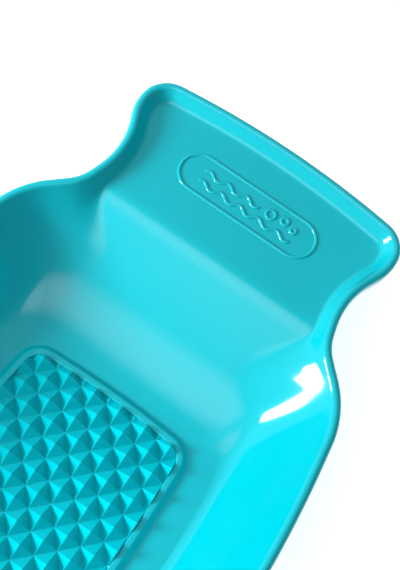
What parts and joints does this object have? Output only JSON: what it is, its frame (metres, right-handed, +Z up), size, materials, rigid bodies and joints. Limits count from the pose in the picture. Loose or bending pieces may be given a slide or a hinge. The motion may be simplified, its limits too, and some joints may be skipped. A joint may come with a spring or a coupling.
{
  "type": "baby bathtub",
  "caption": "Shallow moulded newborn bathtub with a flared head lip, sloped backrest, non-slip pyramid pad, floor drain with a lift-out plug, and rubber feet.",
  "frame": {"origin": "on the ground under the middle of the tub's length and width", "axes": "+Z up, +Y towards the head end with the flared lip, +X to the right when looking from the foot end to the head end"},
  "size_m": [0.3414, 0.5999, 0.0865],
  "materials": {
    "shell_plastic": "glossy turquoise moulded polypropylene",
    "drain_plastic": "smooth white moulded plastic",
    "seal_rubber": "matt black rubber",
    "plug_rubber": "satin white rubber",
    "ring_steel": "polished stainless steel wire",
    "foot_rubber": "satin pale grey rubber"
  },
  "bodies": {
    "tub": {"tub_shell": "shell_plastic", "drain_collar": "drain_plastic", "drain_gasket": "seal_rubber", "drain_locknut": "drain_plastic", "rubber_foot_front_left": "foot_rubber", "rubber_foot_front_right": "foot_rubber", "rubber_foot_rear_left": "foot_rubber", "rubber_foot_rear_right": "foot_rubber"},
    "plug": {"drain_plug": "plug_rubber"},
    "pull_ring": {"plug_pull_ring": "ring_steel"}
  },
  "joints": [
    {"name": "plug_lift", "type": "slide", "parent": "tub", "child": "plug", "axis": [0, 0, 1], "range_m": [0, 0.12]},
    {"name": "ring_swing", "type": "hinge", "parent": "plug", "child": "pull_ring", "pos_m": [0, -0.193, 0.02787], "axis": [-1, 0, 0], "range_deg": [0, 170]}
  ]
}
